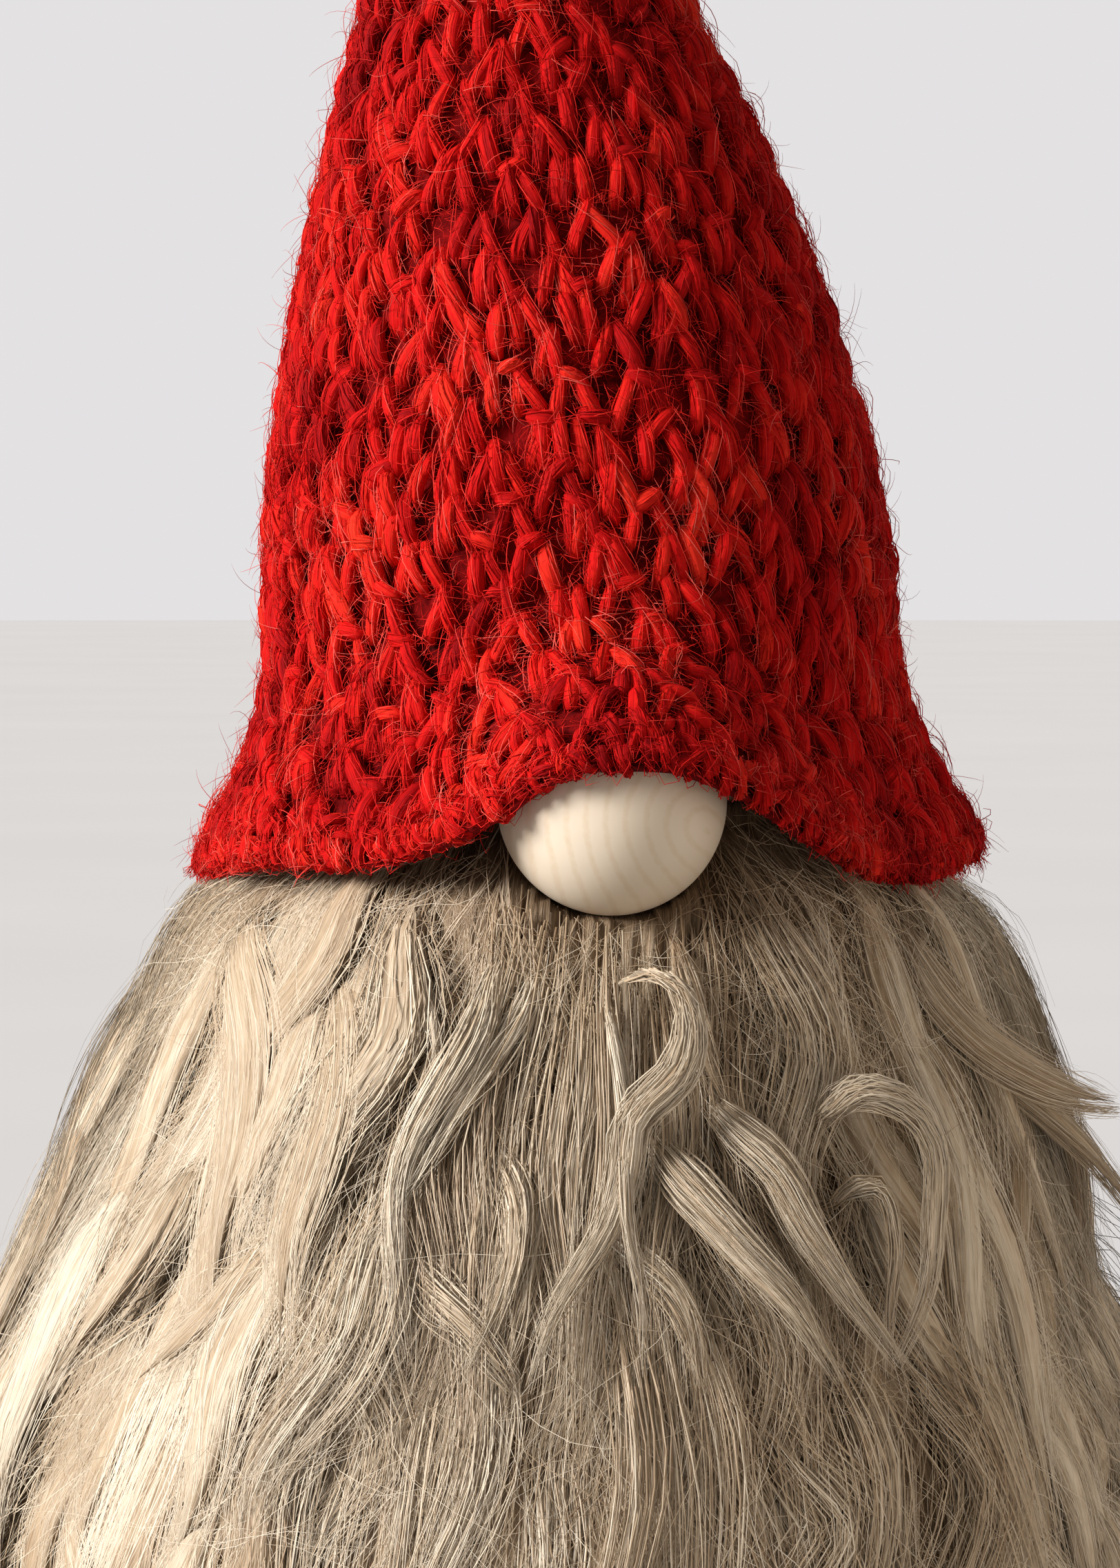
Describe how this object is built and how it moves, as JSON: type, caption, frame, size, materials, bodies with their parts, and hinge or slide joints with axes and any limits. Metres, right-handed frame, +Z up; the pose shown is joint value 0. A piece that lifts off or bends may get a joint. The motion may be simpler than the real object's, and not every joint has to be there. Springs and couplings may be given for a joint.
{
  "type": "tomte gnome figurine",
  "caption": "Standing gnome figure: stuffed cone body on a weighted base, long wool beard on a hide, wooden ball nose and a crocheted wool hat that lifts off.",
  "frame": {"origin": "middle of the underside of the base pad, on the surface that the figure stands on", "axes": "+Z up through the body, -Y towards the figure's front, where the nose is, +X to the right of a viewer who faces the nose"},
  "size_m": [0.195, 0.1735, 0.35],
  "materials": {
    "pad_felt": "matte pressed wool felt",
    "board_wood": "raw fibreboard",
    "pouch_sand": "sand sewn into plain cotton",
    "cover_wool": "grey long-pile wool cloth",
    "wadding": "carded wool wadding",
    "hide_leather": "suede sheepskin",
    "beard_wool": "long ash-blond wool locks with a soft sheen",
    "nose_wood": "sanded pale wood, satin",
    "zinc_steel": "zinc plated",
    "hat_yarn": "red crocheted wool, lightly felted, fuzzy"
  },
  "bodies": {
    "figure": {"base_pad": "pad_felt", "base_board": "board_wood", "sand_pouch": "pouch_sand", "body_cover": "cover_wool", "body_stuffing": "wadding", "beard_hide": "hide_leather", "beard_wool_left": "beard_wool", "beard_wool_middle": "beard_wool", "beard_wool_right": "beard_wool", "nose_ball": "nose_wood", "nose_washer": "zinc_steel", "nose_screw": "zinc_steel"},
    "hat": {"hat_shell": "hat_yarn", "hat_edging": "hat_yarn", "hat_stuffing": "wadding"}
  },
  "joints": [
    {"name": "hat_lift", "type": "slide", "parent": "figure", "child": "hat", "axis": [0, 0, 1], "range_m": [0, 0.125]}
  ]
}
